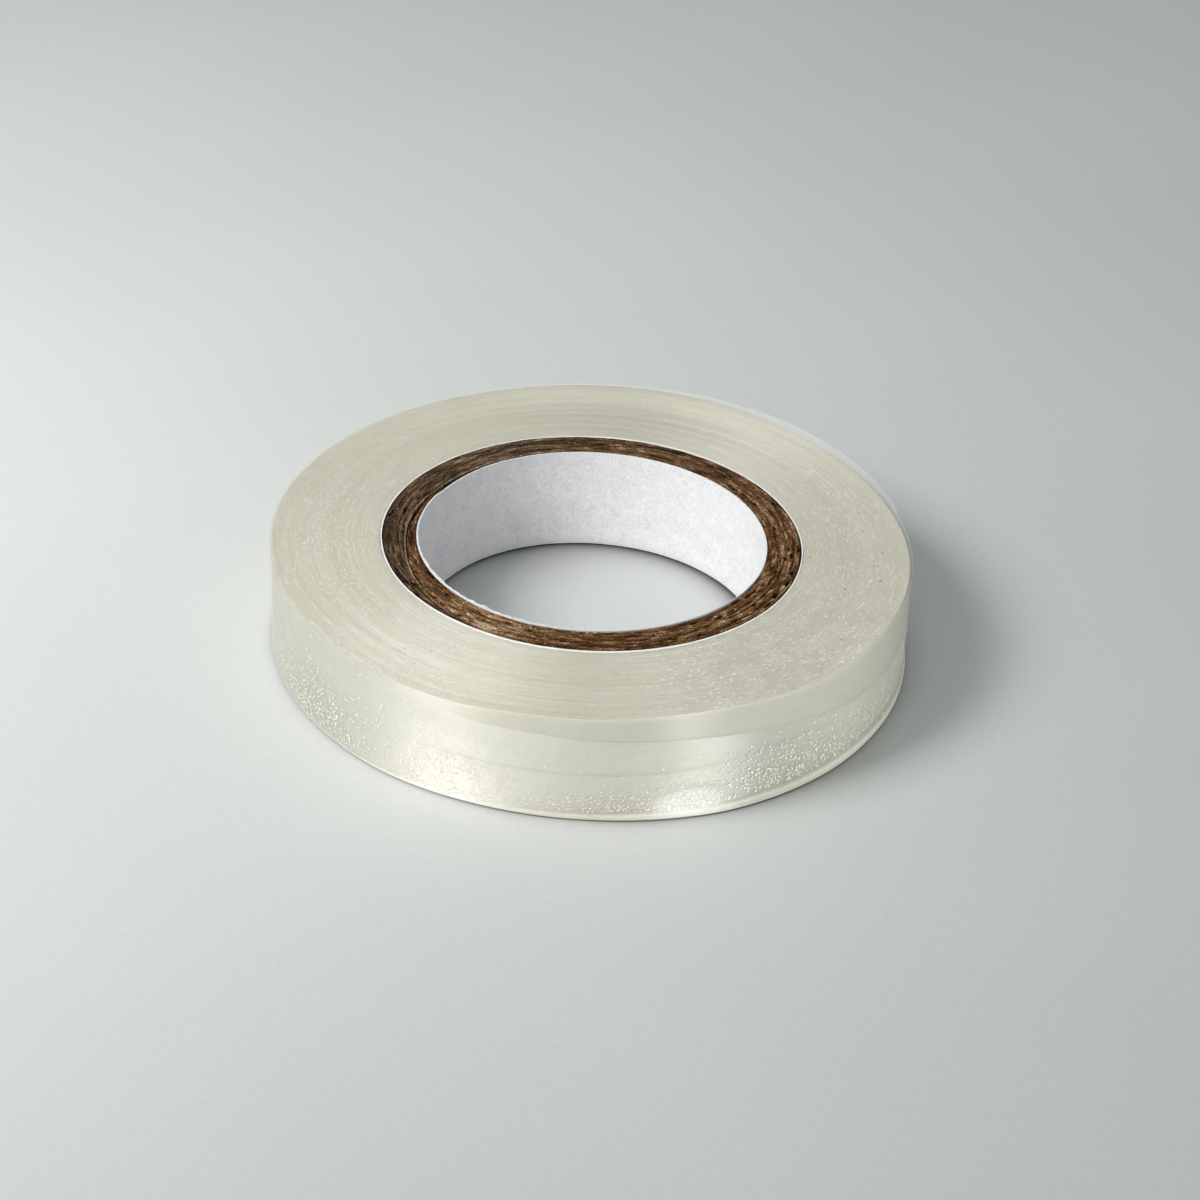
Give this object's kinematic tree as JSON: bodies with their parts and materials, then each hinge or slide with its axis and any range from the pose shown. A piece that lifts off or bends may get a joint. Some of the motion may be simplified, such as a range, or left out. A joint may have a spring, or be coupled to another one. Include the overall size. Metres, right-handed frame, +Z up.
{
  "type": "roll of clear tape",
  "caption": "Small roll of clear single-sided adhesive tape wound on a brown paperboard core with white paper liners, with a free end that peels off.",
  "frame": {"origin": "centre of the face the roll rests on, on the roll's axis", "axes": "+Z up along the roll's axis; -Y is the side towards the camera in the picture, +X to its right"},
  "size_m": [0.0475, 0.0475, 0.0082],
  "materials": {
    "white_paper": "matte fibrous paper",
    "brown_board": "matte cut edge of brown paperboard",
    "clear_tape": "satin stacked film edges, pale yellow-green",
    "clear_film": "glossy clear film"
  },
  "bodies": {
    "roll": {"core_inner_liner": "white_paper", "core_board_ply_1": "brown_board", "core_board_ply_2": "brown_board", "core_board_ply_3": "brown_board", "core_board_ply_4": "brown_board", "core_outer_liner": "white_paper", "tape_wound_turns": "clear_tape", "tape_outer_turn": "clear_film"},
    "tail_1": {"tape_tail_1": "clear_film"},
    "tail_2": {"tape_tail_2": "clear_film"},
    "tail_3": {"tape_tail_3": "clear_film"},
    "tail_4": {"tape_tail_4": "clear_film"},
    "tail_5": {"tape_tail_5": "clear_film"},
    "tail_6": {"tape_tail_6": "clear_film"}
  },
  "joints": [
    {"name": "tail_peel", "type": "hinge", "parent": "roll", "child": "tail_1", "pos_m": [0.02295, 0.00615, 0.0041], "axis": [0, 0, -1], "range_deg": [0, 60]},
    {"name": "tail_flex_2", "type": "hinge", "parent": "tail_1", "child": "tail_2", "pos_m": [0.02058, 0.01188, 0.0041], "axis": [0, 0, -1], "range_deg": [0, 13.5]},
    {"name": "tail_flex_3", "type": "hinge", "parent": "tail_2", "child": "tail_3", "pos_m": [0.01681, 0.01681, 0.0041], "axis": [0, 0, -1], "range_deg": [0, 13.5]},
    {"name": "tail_flex_4", "type": "hinge", "parent": "tail_3", "child": "tail_4", "pos_m": [0.01189, 0.02059, 0.0041], "axis": [0, 0, -1], "range_deg": [0, 13.5]},
    {"name": "tail_flex_5", "type": "hinge", "parent": "tail_4", "child": "tail_5", "pos_m": [0.00615, 0.02296, 0.0041], "axis": [0, 0, -1], "range_deg": [0, 13.5]},
    {"name": "tail_flex_6", "type": "hinge", "parent": "tail_5", "child": "tail_6", "pos_m": [0, 0.02378, 0.0041], "axis": [0, 0, -1], "range_deg": [0, 13.5]}
  ],
  "couplings": [
    {"joint": "tail_flex_2", "follows": "tail_peel", "ratio": 0.225},
    {"joint": "tail_flex_3", "follows": "tail_peel", "ratio": 0.225},
    {"joint": "tail_flex_4", "follows": "tail_peel", "ratio": 0.225},
    {"joint": "tail_flex_5", "follows": "tail_peel", "ratio": 0.225},
    {"joint": "tail_flex_6", "follows": "tail_peel", "ratio": 0.225}
  ]
}
